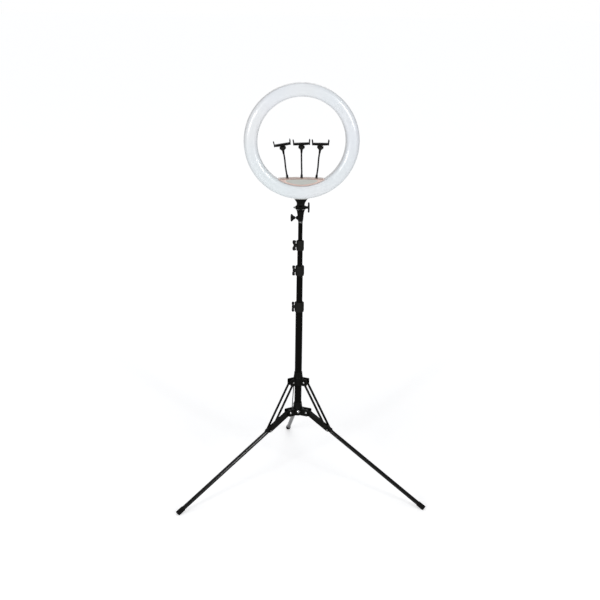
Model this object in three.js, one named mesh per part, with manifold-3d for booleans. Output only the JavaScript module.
// Ring light on a reverse-folding stand: a lamp head with three phone holders on goosenecks, a
// tilting yoke, a four-section column and a tripod whose legs fold upwards along the column.
// Millimetres, +Z up, lamp facing -Y, left is -X. Heights are above the floor, and the whole group
// is lowered so that the origin is the centre of the column's bottom face.
import * as THREE from "three";
import { mergeVertices } from "three/addons/utils/BufferGeometryUtils.js";
import Module from "manifold-3d";

const wasm = await Module();
wasm.setup();

// ---------- driving dimensions ----------
const ORIGIN_Z = 325; // underside of the column end cap

// lamp ring
const RING_Z = 1542.5; // ring centre
const RING_OUT = 240; // outer radius
const RING_IN = 184.5; // inner radius
const RING_FRONT = -20; // front plane of the rear housing (y)
const RING_BACK = 24; // back plane (y)
const RING_SEGS = 48;

// holder bracket, in the ring's frame
const BRACKET_HALF = 97;
const BRACKET_TOP = -152; // top of the bracket at its middle
const BRACKET_DROP = 3.2; // how much lower the top is at its ends
const BRACKET_FRONT = -30;
const BRACKET_BACK = 12;

// head mount
const PIVOT_Z = 1262;
const SOCKET_BOTTOM_Z = 1202;
const SOCKET_KNOB_Z = 1218;

// column, top section first
const TUBES = [
  { radius: 9.5, wall: 1.0, bottom: 675, top: 1194.6 },
  { radius: 11.5, wall: 1.2, bottom: 591, top: 1115 },
  { radius: 13.5, wall: 1.2, bottom: 480, top: 1004 },
  { radius: 15.5, wall: 1.2, bottom: 333, top: 842 },
];
const SECTION_CLAMPS = [
  { radius: 16.5, bottom: 1076, top: 1120 },
  { radius: 19, bottom: 966, top: 1009 },
  { radius: 20.5, bottom: 804, top: 847 },
];
const KNOB_REACH = 32.5; // wing knobs reach this far from the column axis
const TUBE_FIT = 0.35; // radial clearance around a tube
const COLUMN_BORE = TUBES[3].radius + TUBE_FIT; // bore of the hub and the collar

// tripod: radii are from the column axis
const HINGE_R = 47;
const HINGE_Z = 346;
const FOOT_R = 603;
const FOOT_AXIS_Z = 9; // leg axis height at the foot
const KNEE = 121; // strut joint along the leg
const COLLAR_PIN_R = 34;
const COLLAR_PIN_Z = 485;
const LEG_R = 9;
const FORK_HALF = 10.2; // half width of the slots that take the legs
const STRUT_IN = 13.6; // inner face of a strut bar, from the leg's middle plane
const STRUT_T = 3;
const LEG_AZIMUTHS = { rear: 90, left: 210, right: 330 };
const GAP_AZIMUTHS = Object.values(LEG_AZIMUTHS).map((azimuth) => azimuth - 60);

const FINISH = {
  opal: { color: 0xeff1f4, roughness: 0.28, metalness: 0 },
  white: { color: 0xe6e6e4, roughness: 0.45, metalness: 0 },
  board: { color: 0x2e5a3c, roughness: 0.6, metalness: 0 },
  rose: { color: 0xdcb9ac, roughness: 0.35, metalness: 0.5 },
  silver: { color: 0xc4c6be, roughness: 0.4, metalness: 0.6 },
  black: { color: 0x151513, roughness: 0.45, metalness: 0 },
  tube: { color: 0x11110f, roughness: 0.28, metalness: 0.3 },
  clamp: { color: 0x262624, roughness: 0.6, metalness: 0 },
  rubber: { color: 0x0d0d0d, roughness: 0.85, metalness: 0 },
  chrome: { color: 0xcfcfcf, roughness: 0.18, metalness: 1 },
};

// ---------- solids ----------
const deg = (angle) => (angle * Math.PI) / 180;

// A closed BufferGeometry as a manifold-3d solid, with its faces turned outwards.
function solid(geometry) {
  const loose = geometry.index ? geometry.toNonIndexed() : geometry;
  const bare = new THREE.BufferGeometry();
  bare.setAttribute("position", loose.attributes.position);
  const merged = mergeVertices(bare, 1e-4);
  const position = merged.attributes.position;
  const index = merged.index.array;
  const corner = (i) => new THREE.Vector3().fromBufferAttribute(position, i);
  const triangles = [];
  let volume = 0;
  for (let i = 0; i < index.length; i += 3) {
    const [a, b, c] = [index[i], index[i + 1], index[i + 2]];
    if (a === b || b === c || a === c) continue;
    triangles.push([a, b, c]);
    volume += corner(a).dot(corner(b).cross(corner(c)));
  }
  const outward = volume < 0 ? triangles.map(([a, b, c]) => [a, c, b]) : triangles;
  return new wasm.Manifold(
    new wasm.Mesh({
      numProp: 3,
      vertProperties: new Float32Array(position.array),
      triVerts: new Uint32Array(outward.flat()),
    }),
  );
}

function geometryOf(shape) {
  const mesh = shape.getMesh();
  const stride = mesh.numProp;
  const vertices = new Float32Array(mesh.numVert * 3);
  for (let i = 0; i < mesh.numVert; i++) {
    vertices.set(mesh.vertProperties.subarray(i * stride, i * stride + 3), i * 3);
  }
  const geometry = new THREE.BufferGeometry();
  geometry.setAttribute("position", new THREE.BufferAttribute(vertices, 3));
  geometry.setIndex(new THREE.BufferAttribute(new Uint32Array(mesh.triVerts), 1));
  geometry.computeVertexNormals();
  return geometry;
}

const join = (...parts) => parts.reduce((a, b) => a.add(b));
const cut = (body, ...parts) => parts.reduce((a, b) => a.subtract(b), body);

// A solid turned about Z by an angle in degrees, and copies of it at several azimuths.
const spun = (shape, azimuth) => solid(geometryOf(shape).rotateZ(deg(azimuth)));
const around = (shape, azimuths = Object.values(LEG_AZIMUTHS)) =>
  azimuths.map((azimuth) => spun(shape, azimuth));

// Revolved profiles of [radius, height] points. Open ones start and end on the axis.
const closed = (points) => [...points, points[0]];
const vectors = (points) => points.map(([x, y]) => new THREE.Vector2(x, y));
const lathe = (points, segments) => new THREE.LatheGeometry(vectors(points), segments);
const turned = (points, segments) => solid(lathe(points, segments).rotateX(Math.PI / 2));
// About Y, for the lamp ring: the section's points are [radius, y].
const lampRing = (section) => solid(lathe(closed(section), RING_SEGS));

function box(x0, x1, y0, y1, z0, z1) {
  const geometry = new THREE.BoxGeometry(x1 - x0, y1 - y0, z1 - z0);
  return solid(geometry.translate((x0 + x1) / 2, (y0 + y1) / 2, (z0 + z1) / 2));
}

// Cylinder or cone between two points.
function rod(from, to, radius, segments = 16, endRadius = radius) {
  const start = new THREE.Vector3(...from);
  const end = new THREE.Vector3(...to);
  const axis = end.clone().sub(start);
  const geometry = new THREE.CylinderGeometry(endRadius, radius, axis.length(), segments);
  const up = new THREE.Vector3(0, 1, 0);
  geometry.applyQuaternion(new THREE.Quaternion().setFromUnitVectors(up, axis.normalize()));
  const middle = start.add(end).multiplyScalar(0.5);
  return solid(geometry.translate(middle.x, middle.y, middle.z));
}
// Rods along one axis; the size is radius, segments, end radius.
const rodX = (x0, x1, z, ...size) => rod([x0, 0, z], [x1, 0, z], ...size);
const rodY = (x, y0, y1, z, ...size) => rod([x, y0, z], [x, y1, z], ...size);
const rodZ = (z0, z1, ...size) => rod([0, 0, z0], [0, 0, z1], ...size);

// Flat shape in the XZ plane, given as a Shape or [x, z] points, extruded from y0 to y1.
function plateXZ(outline, y0, y1) {
  const shape = outline instanceof THREE.Shape ? outline : new THREE.Shape(vectors(outline));
  const geometry = new THREE.ExtrudeGeometry(shape, {
    depth: y1 - y0,
    bevelEnabled: false,
    curveSegments: 3,
  });
  // (x, y, z) of the extrusion become (x, y1 - z, y)
  return solid(geometry.rotateX(Math.PI / 2).translate(0, y1, 0));
}

// Half an outline followed by its mirror image; points on the mirror line are not repeated.
function mirroredX(half) {
  const others = half.filter(([x]) => x !== 0).reverse();
  return [...half, ...others.map(([x, z]) => [-x, z])];
}
function mirroredZ(half) {
  const others = half.filter(([, z]) => z !== 0).reverse();
  return [...half, ...others.map(([x, z]) => [x, -z])];
}

function roundedRect(halfX, halfZ, radius) {
  const shape = new THREE.Shape();
  const x = halfX - radius;
  const z = halfZ - radius;
  shape.moveTo(-x, -halfZ);
  shape.lineTo(x, -halfZ);
  shape.absarc(x, -z, radius, -Math.PI / 2, 0, false);
  shape.lineTo(halfX, z);
  shape.absarc(x, z, radius, 0, Math.PI / 2, false);
  shape.lineTo(-x, halfZ);
  shape.absarc(-x, z, radius, Math.PI / 2, Math.PI, false);
  shape.lineTo(-halfX, -z);
  shape.absarc(-x, -z, radius, Math.PI, 1.5 * Math.PI, false);
  return shape;
}

function piece(name, shape, finish) {
  const material = new THREE.MeshStandardMaterial(FINISH[finish]);
  const mesh = new THREE.Mesh(geometryOf(shape), material);
  mesh.name = name;
  return mesh;
}

function subgroup(parent, x, y, z) {
  const group = new THREE.Group();
  group.position.set(x, y, z);
  parent.add(group);
  return group;
}

const light = new THREE.Group();
light.position.z = -ORIGIN_Z;

// ---------- lamp ring ----------
const HOUSING_WALL = 2.5;
const BEVEL_Y = 10; // where the housing's back bevels begin
const BEVEL = 9; // their radial width
const INNER_BEVEL_Y = 9;
const INNER_BEVEL = 10.4; // from the outer radii to the flat inside of the back
const CROWN_RISE = 17.5;
const CROWN_WALL = 2.4;
const CROWN_GAP = 0.4; // between the diffuser and the housing
const LED_BOARD = { outer: 232, inner: 192.5, front: 9, back: 10.6 };

function rearHousing() {
  const section = [
    [RING_OUT, RING_FRONT],
    [RING_OUT, BEVEL_Y],
    [RING_OUT - BEVEL, RING_BACK],
    [RING_IN + BEVEL, RING_BACK],
    [RING_IN, BEVEL_Y],
    [RING_IN, RING_FRONT],
    [RING_IN + HOUSING_WALL, RING_FRONT],
    [RING_IN + HOUSING_WALL, INNER_BEVEL_Y],
    [RING_IN + INNER_BEVEL, RING_BACK - HOUSING_WALL],
    [RING_OUT - INNER_BEVEL, RING_BACK - HOUSING_WALL],
    [RING_OUT - HOUSING_WALL, INNER_BEVEL_Y],
    [RING_OUT - HOUSING_WALL, RING_FRONT],
  ];
  return piece("rear_housing", lampRing(section), "white");
}

// Half an oval bulging forwards, inset from the diffuser's outer face.
function crown(inset, steps) {
  const middle = (RING_OUT + RING_IN) / 2;
  const half = (RING_OUT - RING_IN) / 2 - inset;
  const rise = CROWN_RISE - inset;
  const points = [];
  for (let i = 0; i <= steps; i++) {
    const angle = (Math.PI * i) / steps;
    const y = RING_FRONT - CROWN_GAP - rise * Math.sin(angle);
    points.push([middle + half * Math.cos(angle), y]);
  }
  return points;
}

function diffuserRing() {
  const section = [...crown(0, 6), ...crown(CROWN_WALL, 5).reverse()];
  return piece("diffuser_ring", lampRing(section), "opal");
}

function ledBoard() {
  const { outer, inner, front, back } = LED_BOARD;
  const section = [[outer, front], [outer, back], [inner, back], [inner, front]];
  return piece("led_board", lampRing(section), "board");
}

const ring = subgroup(light, 0, 0, RING_Z);
ring.add(rearHousing(), diffuserRing(), ledBoard());

// ---------- control box, on the back of the ring at the bottom ----------
const BOX_Z = -211.5;
const BOX_BACK = 46;
const BRIGHTNESS_X = -34;
const COLOUR_X = -10;
const SWITCH_X = 15;
const SWITCH_HALF = 5.8; // half width of the rocker
const JACK_X = 38;

function controlBoxCover() {
  const hole = (x, radius) => rodY(x, BOX_BACK - 5, BOX_BACK + 5, 0, radius, 16);
  const switchHalf = SWITCH_HALF + 0.6;
  const shape = cut(
    plateXZ(roundedRect(52, 20, 6), RING_BACK + 0.4, BOX_BACK),
    plateXZ(roundedRect(49.5, 17.5, 4), RING_BACK - 1, BOX_BACK - 2.5),
    hole(BRIGHTNESS_X, 3.6),
    hole(COLOUR_X, 3.6),
    box(SWITCH_X - switchHalf, SWITCH_X + switchHalf, BOX_BACK - 5, BOX_BACK + 5, -9.4, 9.4),
    hole(JACK_X, 4.9),
  );
  return piece("control_box_cover", shape, "white");
}

const driverBoard = () => piece("driver_board", box(-46, 46, 26.5, 28.1, -14.5, 14.5), "board");

function dial(name, x) {
  const shaft = rodY(x, 29.5, BOX_BACK + 1.5, 0, 3.1, 16);
  const cap = rodY(x, BOX_BACK + 0.5, BOX_BACK + 13, 0, 8.6, 24, 7.8);
  const mark = box(x - 0.7, x + 0.7, BOX_BACK + 12, BOX_BACK + 14, 1.5, 9);
  return piece(name, join(shaft, cut(cap, mark)), "black");
}

// Rocker: a shallow V whose lower half stands prouder of the panel.
function powerSwitch() {
  // [z, y from the panel]
  const outline = [[-8.6, -4], [8.6, -4], [8.6, 0.9], [0, 1.2], [-8.6, 3.6]];
  const geometry = new THREE.ExtrudeGeometry(new THREE.Shape(vectors(outline)), {
    depth: 2 * SWITCH_HALF,
    bevelEnabled: false,
  });
  // extrusion x -> z, y -> y, depth -> -x
  geometry.rotateY(-Math.PI / 2).translate(SWITCH_X + SWITCH_HALF, BOX_BACK, 0);
  return piece("power_switch", solid(geometry), "black");
}

function dcJack() {
  const body = rodY(JACK_X, 30, BOX_BACK + 2, 0, 4.5, 16);
  const bore = rodY(JACK_X, 36, BOX_BACK + 3, 0, 2.8, 16);
  return piece("dc_jack", cut(body, bore), "black");
}

subgroup(ring, 0, 0, BOX_Z).add(
  controlBoxCover(),
  driverBoard(),
  dial("brightness_knob", BRIGHTNESS_X),
  dial("colour_temperature_knob", COLOUR_X),
  powerSwitch(),
  dcJack(),
);

// ---------- holder bracket and its plate ----------
// An arc along the bottom, then a top edge that sags towards its ends.
function saggingOutline({ radius, halfWidth, arcSteps, topHalf, topSteps, topZ }) {
  const points = [];
  const endAngle = Math.asin(halfWidth / radius);
  for (let i = 0; i <= arcSteps; i++) {
    const angle = -endAngle + (2 * endAngle * i) / arcSteps;
    points.push([radius * Math.sin(angle), -radius * Math.cos(angle)]);
  }
  for (let i = 0; i <= topSteps; i++) {
    const x = topHalf - (2 * topHalf * i) / topSteps;
    points.push([x, topZ(x)]);
  }
  return points;
}

const bracketTopZ = (x) => BRACKET_TOP - BRACKET_DROP * (x / BRACKET_HALF) ** 2;

function holderBracket() {
  const outline = saggingOutline({
    radius: RING_IN - 0.9,
    halfWidth: BRACKET_HALF - 0.5,
    arcSteps: 24,
    topHalf: BRACKET_HALF - 2,
    topSteps: 12,
    topZ: bracketTopZ,
  });
  return piece("holder_bracket", plateXZ(outline, BRACKET_FRONT, BRACKET_BACK), "rose");
}

function labelPlate() {
  const topHalf = 64;
  const outline = saggingOutline({
    radius: 177.6,
    halfWidth: 67,
    arcSteps: 20,
    topHalf,
    topSteps: 8,
    topZ: (x) => -155.2 - 2.0 * (x / topHalf) ** 2,
  });
  const shape = plateXZ(outline, BRACKET_FRONT - 1.4, BRACKET_FRONT - 0.3);
  return piece("label_plate", shape, "silver");
}

ring.add(holderBracket(), labelPlate());

// ---------- phone holders ----------
// Each neck starts on the bracket and ends below its lock nut; the clamp lies face up on top.
// base: [x, y] on the bracket; top: ring-local; side: sign of x on which the moving jaw lies;
// roll: the clamp's tilt in degrees; via: a point that an upright-ended, bent neck passes through.
const HOLDERS = {
  left: { base: [-58, -9], top: [-76.9, -9, -37.5], side: -1, roll: 9.6 },
  centre: { base: [1.6, -9], top: [1.3, 13.5, -37.5], side: 1, roll: 2.2, via: [1.4, 2.5, -97] },
  right: { base: [63.5, -9], top: [76.5, -9, -34.8], side: 1, roll: -0.4 },
};
const NECK_R = 3.5;
const NECK_END = 22; // straight run at each end of the bent neck
const NECK_SWAY = 0.8; // sideways waver of the other necks
const BALL_Z = 15.5; // ball centre above the lock nut's underside

// clamp, in a frame centred on its ball
const CLAMP_HALF = 35; // half width
const CLAMP_HALF_DEPTH = 9;
const PLATE_BOTTOM = 2.9;
const PLATE_TOP = PLATE_BOTTOM + 10;
const JAW_TOP = PLATE_TOP + 14.5;
// [x outwards from CLAMP_HALF, z]
const JAW_OUTLINE = [
  [-4.2, PLATE_BOTTOM + 0.2], [0, PLATE_BOTTOM + 0.2], [0.2, PLATE_TOP], [1.6, JAW_TOP - 4],
  [-0.6, JAW_TOP], [-2.4, JAW_TOP - 1], [-1.6, JAW_TOP - 5], [-3.6, PLATE_TOP],
];
// [radius, z]
const LOCK_NUT_PROFILE = [
  [0, 0], [7.4, 0], [9, 2.5], [9.8, 4.2], [12.8, 5], [13.4, 6],
  [13.4, 13.8], [12.9, 15.2], [12.2, 15.2], [7, 11.9], [7, 8], [0, 8],
];
const CLAMP_STEM_PROFILE = [[0, -1], [6.5, -1], [10.6, 2.2], [10.6, 4], [0, 4]];

function neckPoints(start, top, lean, { side, via }) {
  if (via) {
    return [
      start,
      start.clone().addScaledVector(lean, NECK_END),
      new THREE.Vector3(...via),
      top.clone().addScaledVector(lean, -NECK_END),
      top,
    ];
  }
  const sway = new THREE.Vector3(side * NECK_SWAY, 0, 0);
  return [
    start,
    start.clone().lerp(top, 0.35).add(sway),
    start.clone().lerp(top, 0.7).sub(sway),
    top,
  ];
}

function gooseneck(who, start, top, lean, holder) {
  const circle = new THREE.Shape().absarc(0, 0, NECK_R, 0, Math.PI * 2, false);
  const neck = new THREE.ExtrudeGeometry(circle, {
    steps: 9,
    curveSegments: 4,
    extrudePath: new THREE.CatmullRomCurve3(neckPoints(start, top, lean, holder)),
    bevelEnabled: false,
  });
  const along = (point, distance) => point.clone().addScaledVector(lean, distance).toArray();
  const shape = join(
    solid(neck),
    rod(along(start, 0), along(start, 9), 5, 12),
    rod(along(start, 8.9), along(start, 14), 5, 12, 3.6),
    rod(along(top, -14), along(top, 0), 3.9, 12, 4.9),
  );
  return piece("gooseneck_" + who, shape, "black");
}

const ballLockNut = (who) =>
  piece("ball_lock_nut_" + who, turned(LOCK_NUT_PROFILE, 16), "clamp");

// A jaw at the -X or +X end of the clamp.
function jaw(side) {
  const outline = JAW_OUTLINE.map(([x, z]) => [side * (CLAMP_HALF + x), z]);
  return plateXZ(outline, -CLAMP_HALF_DEPTH, CLAMP_HALF_DEPTH);
}

// A box along the clamp, its ends measured towards the moving jaw's side.
function clampBar(side, from, to, halfDepth, z0, z1) {
  const [x0, x1] = [side * from, side * to].sort((a, b) => a - b);
  return box(x0, x1, -halfDepth, halfDepth, z0, z1);
}

// Ball, stem, plate with a pocket for the moving jaw's tongue, and the fixed jaw.
function clampBody(who, side) {
  const bar = [0.5 - CLAMP_HALF, CLAMP_HALF - 4.6, CLAMP_HALF_DEPTH, PLATE_BOTTOM, PLATE_TOP];
  const pocket = [CLAMP_HALF - 50, CLAMP_HALF + 5, 6.9, PLATE_BOTTOM + 1.6, PLATE_BOTTOM + 5.4];
  const body = join(
    solid(new THREE.SphereGeometry(5.5, 12, 8)),
    turned(CLAMP_STEM_PROFILE, 20),
    clampBar(side, ...bar),
    jaw(-side),
  );
  return piece("clamp_body_" + who, cut(body, clampBar(side, ...pocket)), "black");
}

function clampJaw(who, side) {
  const tongue = [CLAMP_HALF - 46, CLAMP_HALF - 2, 6.5, PLATE_BOTTOM + 2, PLATE_BOTTOM + 5];
  return piece("clamp_jaw_" + who, join(jaw(side), clampBar(side, ...tongue)), "black");
}

function addHolder(who, holder) {
  const [baseX, baseY] = holder.base;
  const base = new THREE.Vector3(baseX, baseY, bracketTopZ(baseX));
  const top = new THREE.Vector3(...holder.top);
  const up = new THREE.Vector3(0, 0, 1);
  const lean = holder.via ? up : top.clone().sub(base).normalize();
  const start = base.clone().addScaledVector(lean, 0.9);
  ring.add(gooseneck(who, start, top, lean, holder));

  // frame of the nut, ball and clamp, its Z along the neck's axis
  const head = subgroup(ring, ...top.clone().addScaledVector(lean, 0.4).toArray());
  head.quaternion.setFromUnitVectors(up, lean);
  head.add(ballLockNut(who));
  const clamp = subgroup(head, 0, 0, BALL_Z);
  clamp.rotation.y = -(deg(holder.roll) - Math.asin(-lean.x));
  clamp.add(clampBody(who, holder.side), clampJaw(who, holder.side));
}

for (const [who, holder] of Object.entries(HOLDERS)) addHolder(who, holder);

// ---------- yoke, tilt bolt and socket: frame on the tilt pivot ----------
const BARREL_R = 8.5;
const BARREL_HALF = 21;
const KNUCKLE_HALF = 7;
const BOLT_R = 3;
const YOKE_TOP_HALF = 28;
const SOCKET_BOTTOM = SOCKET_BOTTOM_Z - PIVOT_Z;
const SOCKET_KNOB = SOCKET_KNOB_Z - PIVOT_Z;

// [x, z], the left edge from the top down
const YOKE_EDGE = [
  [-YOKE_TOP_HALF, 39], [-23, 31.5], [-18, 23.5], [-15.8, 15], [-17, 8], [-20.5, 3.4],
  [-20.5, -3.4],
];
// [x, z], lower half of the slightly waisted T-bar
const T_BAR_HALF = [
  [30.2, 0], [30.6, -7], [30, -20.5], [32, -21.5], [36, -21.5], [37.6, -20], [38.2, 0],
];
// [radius, z]
const SOCKET_PROFILE = [
  [0, SOCKET_BOTTOM], [10.2, SOCKET_BOTTOM], [10.8, SOCKET_BOTTOM + 3], [12.4, -44],
  [13.2, -32], [15.6, -19], [15.6, -16.6], [0, -16.6],
];
// [x, z], lower half of the wing, flaring outwards
const SOCKET_WING_HALF = [
  [-23.2, -3.6], [-28, -6.5], [-33, -12.4], [-36.5, -15.4], [-39.5, -15.8], [-41.4, -13.4],
  [-42, -6],
];

function yokeBracket() {
  const topEdge = []; // follows the underside of the ring
  for (let i = 0; i <= 8; i++) {
    const x = YOKE_TOP_HALF * (1 - i / 4);
    topEdge.push([x, RING_Z - PIVOT_Z - Math.sqrt((RING_OUT + 0.6) ** 2 - x * x)]);
  }
  const slotHalf = KNUCKLE_HALF + 0.4;
  const shape = cut(
    join(
      plateXZ([...topEdge, ...mirroredX(YOKE_EDGE)], -12, 12),
      rodX(-BARREL_HALF, BARREL_HALF, 0, BARREL_R, 16),
    ),
    box(-slotHalf, slotHalf, -20, 20, -20, 9.6),
    // trimmed flush with the barrel, front and back
    box(-30, 30, -20, -BARREL_R, -20, 6),
    box(-30, 30, BARREL_R, 20, -20, 6),
    rodX(-30, 30, 0, BOLT_R + 0.4, 16),
  );
  return piece("yoke_bracket", shape, "black");
}

function tiltHandle() {
  const shape = join(
    rodX(-31, 22, 0, BOLT_R, 16),
    rodX(BARREL_HALF + 0.4, 31, 0, 6.2, 16, 5),
    plateXZ(mirroredZ(T_BAR_HALF), -4.2, 4.2),
  );
  return piece("tilt_handle", shape, "black");
}

function tiltNut() {
  const hexagon = rodX(-25.8, -BARREL_HALF - 0.4, 0, 5.4, 6);
  const bore = rodX(-30, -18, 0, BOLT_R + 0.35, 16);
  return piece("tilt_nut", cut(hexagon, bore), "chrome");
}

function socketBody() {
  const saddle = mirroredX([[-18.5, -9.8], [-15, -17.5]]); // under the barrel
  const shape = cut(
    join(
      turned(SOCKET_PROFILE, 16),
      rodX(-7, -18.2, SOCKET_KNOB, 12.5, 16, 5.2),
      box(-KNUCKLE_HALF, KNUCKLE_HALF, -7.6, 7.6, -18, 0),
      plateXZ(saddle, -5.2, 5.2),
      rodX(-KNUCKLE_HALF, KNUCKLE_HALF, 0, BARREL_R, 16),
    ),
    rodZ(SOCKET_BOTTOM - 5, -24, 8.5, 16),
    rodX(-20, 20, 0, BOLT_R + 0.4, 16),
    rodX(-25, 0, SOCKET_KNOB, 3.4, 16),
  );
  return piece("socket_body", shape, "black");
}

function socketKnob() {
  const shape = join(
    rodX(-26, -8.9, 0, 3, 16),
    rodX(-33, -22.8, 0, 6.5, 16, 4.2),
    plateXZ(mirroredZ(SOCKET_WING_HALF), -3.6, 3.6),
  );
  return piece("socket_knob", shape, "black");
}

const mount = subgroup(light, 0, 0, PIVOT_Z);
mount.add(yokeBracket(), tiltHandle(), tiltNut(), socketBody());
subgroup(mount, 0, 0, SOCKET_KNOB).add(socketKnob());

// ---------- column ----------
// [radius, z]
const SPIGOT_PROFILE = [
  [0, 1150], [8.1, 1150], [8.1, 1195], [9.6, 1195], [9.6, 1200.4], [8, 1200.4], [8, 1212],
  [6.8, 1213.5], [6.8, 1222], [8, 1223.5], [8, 1236], [0, 1236],
];

const spigot = () => piece("spigot", turned(SPIGOT_PROFILE, 16), "chrome");

function columnTube({ radius, wall, bottom, top }, number) {
  const inner = radius - wall;
  const section = [[radius, bottom], [radius, top], [inner, top], [inner, bottom]];
  return piece("column_tube_" + number, turned(closed(section), 24), "tube");
}

const bossEnd = (clamp) => clamp.radius + 2.4;
const clampMiddle = (clamp) => (clamp.bottom + clamp.top) / 2;

// Sleeve on the lower tube, closed in around the upper one, with a boss for the wing knob.
function sectionClamp(clamp, number) {
  const { radius, bottom, top } = clamp;
  const upperBore = TUBES[number - 1].radius + TUBE_FIT;
  const lowerBore = TUBES[number].radius + TUBE_FIT;
  const middle = clampMiddle(clamp);
  const section = [
    [lowerBore, bottom],
    [radius - 1, bottom],
    [radius, bottom + 2],
    [radius, top - 2.5],
    [radius - 2.5, top],
    [upperBore, top],
    [upperBore, top - 3.5],
    [lowerBore, top - 3.5],
  ];
  const boss = cut(
    rodX(-radius + 3, -bossEnd(clamp), middle, 8.5, 16, 7.5),
    rodZ(middle - 20, middle + 20, lowerBore + 0.6, 24),
  );
  const screwHole = rodX(-radius - 10, -3, middle, 3, 12);
  const shape = cut(join(turned(closed(section), 24), boss), screwHole);
  return piece("section_clamp_" + number, shape, "clamp");
}

function wingKnob(clamp, number) {
  const root = -bossEnd(clamp) - 0.3;
  const tip = -KNOB_REACH;
  const lowerHalf = [
    [root - 1, -5.2],
    [root - 0.6, -10],
    [root + 0.6, -18],
    [root - 0.5, -21],
    [root - 3, -22],
    [tip + 2.4, -21.5],
    [tip, -18.5],
    [tip, -9.5],
    [tip + 2, -6.5],
    [root - 6.4, 0],
  ];
  const shape = join(
    rodX(root - 2, -TUBES[number].radius - 0.6, 0, 2.6, 12),
    rodX(root - 8, root, 0, 5.6, 14, 6.4),
    plateXZ(mirroredZ(lowerHalf), -3.4, 3.4),
  );
  return piece("wing_knob_" + number, shape, "clamp");
}

light.add(spigot(), ...TUBES.map((tube, i) => columnTube(tube, i + 1)));
SECTION_CLAMPS.forEach((clamp, i) => {
  light.add(sectionClamp(clamp, i + 1));
  subgroup(light, 0, 0, clampMiddle(clamp)).add(wingKnob(clamp, i + 1));
});

// ---------- bottom hub ----------
const HUB_BOTTOM = 329;
const HUB_TOP = HUB_BOTTOM + 30;
const HUB_SCREW_Z = HUB_BOTTOM + 20;

// [radius, z]
const HUB_PROFILE = [
  [0, HUB_BOTTOM + 2], [22, HUB_BOTTOM + 2], [25, HUB_BOTTOM + 6], [25, HUB_TOP - 2],
  [21, HUB_TOP], [19, HUB_TOP + 12], [17.4, HUB_TOP + 26], [0, HUB_TOP + 26],
];
// [x, z] of a web along +X
const WEB_OUTLINE = [
  [0, HUB_BOTTOM + 12], [29, HUB_BOTTOM + 12], [30, HUB_TOP - 8], [24, HUB_TOP - 3],
  [0, HUB_TOP - 3],
];
// [radius, z above the cap's underside]
const END_CAP_PROFILE = [
  [0, 0], [17.5, 0], [18, 1], [18, 3.6], [15.4, 3.6], [15.4, 7.6], [13.9, 7.6], [13.9, 22],
  [0, 22],
];

// A block along +X with a bevelled nose; the fork slot parts it into two cheeks.
function ears(reach, half, z0, z1, nose) {
  const outline = [
    [0, z0],
    [reach - nose, z0],
    [reach, z0 + nose],
    [reach, z1 - nose * 0.5],
    [reach - nose * 0.5, z1],
    [0, z1],
  ];
  return plateXZ(outline, -half, half);
}

function baseHub() {
  const body = join(
    turned(HUB_PROFILE, 18),
    ...around(plateXZ(WEB_OUTLINE, -14, 14), GAP_AZIMUTHS),
    ...around(ears(60, 16, HUB_BOTTOM, HUB_TOP, 9)),
  );
  const bored = cut(
    body,
    rodZ(HUB_BOTTOM - 5, HUB_TOP + 40, COLUMN_BORE, 24),
    ...around(box(31, 80, -FORK_HALF, FORK_HALF, HUB_BOTTOM - 10, HUB_TOP + 10)),
    rodY(0, -40, 0, HUB_SCREW_Z, 3.4, 16),
  );
  // hinge pins, pressed into the cheeks
  const pins = around(rodY(HINGE_R, -17.2, 17.2, HINGE_Z, 3, 10));
  return piece("base_hub", join(bored, ...pins), "black");
}

function hubScrew() {
  const head = rodY(0, -33.2, -30.4, HUB_SCREW_Z, 6.2, 20);
  const shank = rodY(0, -31, -16.3, HUB_SCREW_Z, 3, 16);
  return piece("hub_screw", join(head, shank), "chrome");
}

function columnEndCap() {
  const profile = END_CAP_PROFILE.map(([radius, z]) => [radius, ORIGIN_Z + z]);
  return piece("column_end_cap", turned(profile, 18), "rubber");
}

light.add(baseHub(), hubScrew(), columnEndCap());

// ---------- sliding collar ----------
const COLLAR_BOTTOM = 466;
const COLLAR_TOP = 500;
const LOCK_Z = COLLAR_BOTTOM + 9;
const LOCK_AZIMUTH = GAP_AZIMUTHS[0]; // lock screw between two ears

// [radius, z]
const COLLAR_PROFILE = [
  [0, COLLAR_BOTTOM], [20, COLLAR_BOTTOM], [22, COLLAR_BOTTOM + 3], [22, COLLAR_TOP],
  [19.6, COLLAR_TOP + 9], [17.8, COLLAR_TOP + 27], [0, COLLAR_TOP + 27],
];

function legCollar() {
  const body = join(
    turned(COLLAR_PROFILE, 18),
    ...around(ears(48, STRUT_IN - 0.4, COLLAR_BOTTOM + 2, COLLAR_TOP, 7)),
    spun(rodX(0, 24.5, LOCK_Z, 6.5, 16), LOCK_AZIMUTH),
  );
  const shape = cut(
    body,
    rodZ(COLLAR_BOTTOM - 5, COLLAR_TOP + 40, COLUMN_BORE, 24),
    ...around(box(25, 70, -FORK_HALF, FORK_HALF, COLLAR_BOTTOM - 10, COLLAR_TOP + 10)),
    ...around(rodY(COLLAR_PIN_R, -30, 30, COLLAR_PIN_Z, 3, 8)),
    spun(rodX(0, 40, LOCK_Z, 3, 16), LOCK_AZIMUTH),
  );
  return piece("leg_collar", shape, "black");
}

function collarLockKnob() {
  const shape = join(rodX(16.3, 27, 0, 2.6, 12), rodX(24.9, 36, 0, 6, 20, 6.6));
  return piece("collar_lock_knob", shape, "black");
}

light.add(legCollar());
const lock = subgroup(light, 0, 0, LOCK_Z);
lock.rotation.z = deg(LOCK_AZIMUTH);
lock.add(collarLockKnob());

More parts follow.
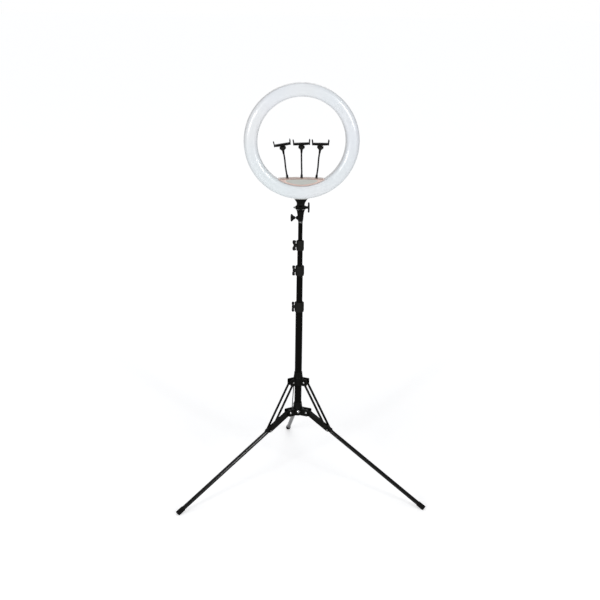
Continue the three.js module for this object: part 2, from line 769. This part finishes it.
// ---------- legs and struts ----------
const LEG_RUN = FOOT_R - HINGE_R;
const LEG_DROP = HINGE_Z - FOOT_AXIS_Z;
const LEG_LENGTH = Math.hypot(LEG_RUN, LEG_DROP);
const LEG_ANGLE = Math.atan2(LEG_DROP, LEG_RUN); // below the horizontal
const STRUT_RUN = HINGE_R + KNEE * Math.cos(LEG_ANGLE) - COLLAR_PIN_R;
const STRUT_DROP = COLLAR_PIN_Z - (HINGE_Z - KNEE * Math.sin(LEG_ANGLE));
const STRUT_LENGTH = Math.hypot(STRUT_RUN, STRUT_DROP);
const STRUT_ANGLE = Math.atan2(STRUT_DROP, STRUT_RUN); // below the horizontal
const STRUT_END_R = 5;

// [x, z] in the leg's frame
const CHANNEL_OUTLINE = [
  [-8, -9.6], [120, -9.6], [130, -5], [136, 4], [136, 9.6], [-8, 9.6], [-12, 4], [-12, -4],
];

// Channel at the hinge end of a leg, open below.
function legChannel(who) {
  const shape = cut(
    plateXZ(CHANNEL_OUTLINE, -9.5, 9.5),
    box(-30, 150, -8, 8, -20, 8),
    rodY(0, -20, 20, 0, 3.5, 10),
  );
  return piece("leg_channel_" + who, shape, "tube");
}

function legTube(who) {
  const shape = cut(
    join(rodX(137, LEG_LENGTH - 4, 0, LEG_R, 24), box(92, 142, -7.4, 7.4, -5.5, 7.6)),
    rodX(158, LEG_LENGTH + 5, 0, LEG_R - 1.3, 24),
  );
  return piece("leg_tube_" + who, shape, "tube");
}

// Foot with a flat sole on the floor.
function footCap(who) {
  const floor = new THREE.BoxGeometry(160, 60, 60)
    .translate(0, 0, -30 - FOOT_AXIS_Z)
    .rotateY(-LEG_ANGLE)
    .translate(LEG_LENGTH, 0, 0);
  const shape = cut(
    rodX(LEG_LENGTH - 26, LEG_LENGTH + 9, 0, 11, 24),
    rodX(LEG_LENGTH - 40, LEG_LENGTH - 3.6, 0, LEG_R + TUBE_FIT, 24),
    solid(floor),
  );
  return piece("foot_cap_" + who, shape, "rubber");
}

// One bar of a strut with its two rivets, on the -Y or +Y side of the leg.
function strutBar(name, side) {
  const outline = new THREE.Shape();
  outline.absarc(0, 0, STRUT_END_R, Math.PI / 2, 1.5 * Math.PI, false);
  outline.lineTo(STRUT_LENGTH, -STRUT_END_R);
  outline.absarc(STRUT_LENGTH, 0, STRUT_END_R, -Math.PI / 2, Math.PI / 2, false);
  outline.lineTo(0, STRUT_END_R);
  const outer = STRUT_IN + STRUT_T;
  const [y0, y1] = side < 0 ? [-outer, -STRUT_IN] : [STRUT_IN, outer];
  const rivet = (x, from) => rodY(x, side * from, side * (outer + 1.4), 0, 2.5, 8);
  const shape = join(plateXZ(outline, y0, y1), rivet(0, 10.6), rivet(STRUT_LENGTH, 10.1));
  return piece(name, shape, "tube");
}

for (const [who, azimuth] of Object.entries(LEG_AZIMUTHS)) {
  const side = subgroup(light, 0, 0, 0);
  side.rotation.z = deg(azimuth);

  // leg frame: X along the leg, origin on the hinge pin
  const leg = subgroup(side, HINGE_R, 0, HINGE_Z);
  leg.rotation.y = LEG_ANGLE;
  leg.add(legChannel(who), legTube(who), footCap(who));

  // strut frame: X along the strut, origin on the collar's rivet
  const strut = subgroup(side, COLLAR_PIN_R, 0, COLLAR_PIN_Z);
  strut.rotation.y = STRUT_ANGLE;
  strut.add(strutBar(`strut_${who}_a`, -1), strutBar(`strut_${who}_b`, 1));
}

export default light;
